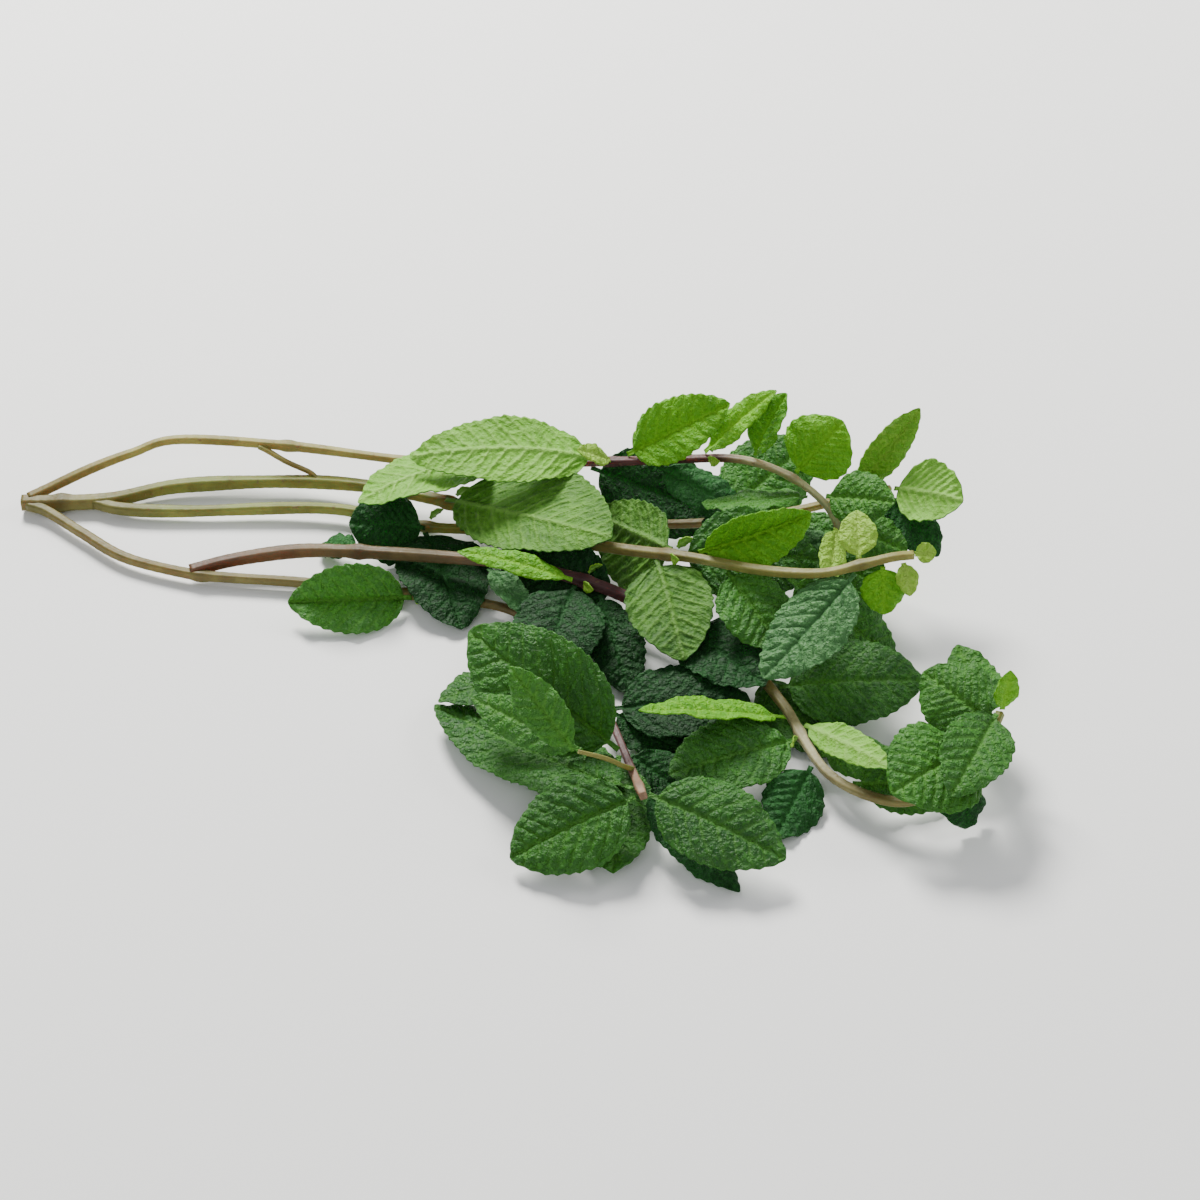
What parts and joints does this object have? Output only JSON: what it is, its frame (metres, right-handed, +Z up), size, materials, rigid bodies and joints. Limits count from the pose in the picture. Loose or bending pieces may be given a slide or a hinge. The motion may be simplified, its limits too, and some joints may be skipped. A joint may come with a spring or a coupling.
{
  "type": "branched mint sprig",
  "caption": "Cut mint sprig lying on its side: thin square branching stems and toothed oval leaves in pairs, thickest towards the tips.",
  "frame": {"origin": "middle of the bottom of the bounding box, on the surface the sprig lies on", "axes": "+X from the cut end towards the tips, +Z up off the surface, +Y towards the back branch"},
  "size_m": [0.286, 0.1756, 0.0544],
  "materials": {
    "leaf_green": "fresh mid green upper side, quilted and satin",
    "leaf_bright": "light yellow-green upper side, satin",
    "leaf_dark": "deep bluish green upper side, satin",
    "leaf_pale": "pale grey-green underside with raised veins, matt",
    "leaf_young": "yellow-green young leaf, satin",
    "stem_green": "olive green square stem, satin",
    "stem_brown": "olive brown to purple-brown square stem, satin"
  },
  "bodies": {
    "root": {"stem_main": "stem_green", "stem_back": "stem_brown", "stem_middle": "stem_green", "stem_front": "stem_brown", "stem_low": "stem_brown", "stem_twig": "stem_brown", "stem_shoot": "stem_green", "leaf_back_1": "leaf_pale", "leaf_back_2": "leaf_bright", "leaf_back_3": "leaf_bright", "leaf_back_4": "leaf_bright", "leaf_back_5": "leaf_green", "leaf_back_6": "leaf_young", "leaf_back_7": "leaf_pale", "leaf_back_8": "leaf_green", "leaf_back_9": "leaf_green", "leaf_back_10": "leaf_dark", "leaf_back_11": "leaf_bright", "leaf_back_12": "leaf_young", "leaf_middle_1": "leaf_dark", "leaf_middle_2": "leaf_pale", "leaf_middle_3": "leaf_pale", "leaf_middle_4": "leaf_dark", "leaf_middle_5": "leaf_dark", "leaf_main_1": "leaf_pale", "leaf_main_2": "leaf_bright", "leaf_main_3": "leaf_pale", "leaf_main_4": "leaf_green", "leaf_main_5": "leaf_pale", "leaf_main_6": "leaf_pale", "leaf_main_7": "leaf_young", "leaf_main_8": "leaf_bright", "leaf_main_9": "leaf_young", "leaf_main_10": "leaf_young", "leaf_front_1": "leaf_dark", "leaf_front_2": "leaf_bright", "leaf_front_3": "leaf_dark", "leaf_front_4": "leaf_dark", "leaf_front_5": "leaf_green", "leaf_front_6": "leaf_bright", "leaf_front_7": "leaf_green", "leaf_front_8": "leaf_dark", "leaf_front_9": "leaf_pale", "leaf_front_10": "leaf_green", "leaf_front_11": "leaf_green", "leaf_front_12": "leaf_dark", "leaf_front_13": "leaf_bright", "leaf_front_14": "leaf_dark", "leaf_front_15": "leaf_dark", "leaf_front_16": "leaf_pale", "leaf_low_1": "leaf_dark", "leaf_low_2": "leaf_dark", "leaf_low_3": "leaf_dark", "leaf_low_4": "leaf_green", "leaf_low_5": "leaf_dark", "leaf_low_6": "leaf_green", "leaf_low_7": "leaf_green", "leaf_low_8": "leaf_green", "leaf_shoot_1": "leaf_bright", "leaf_shoot_2": "leaf_bright"}
  },
  "joints": []
}
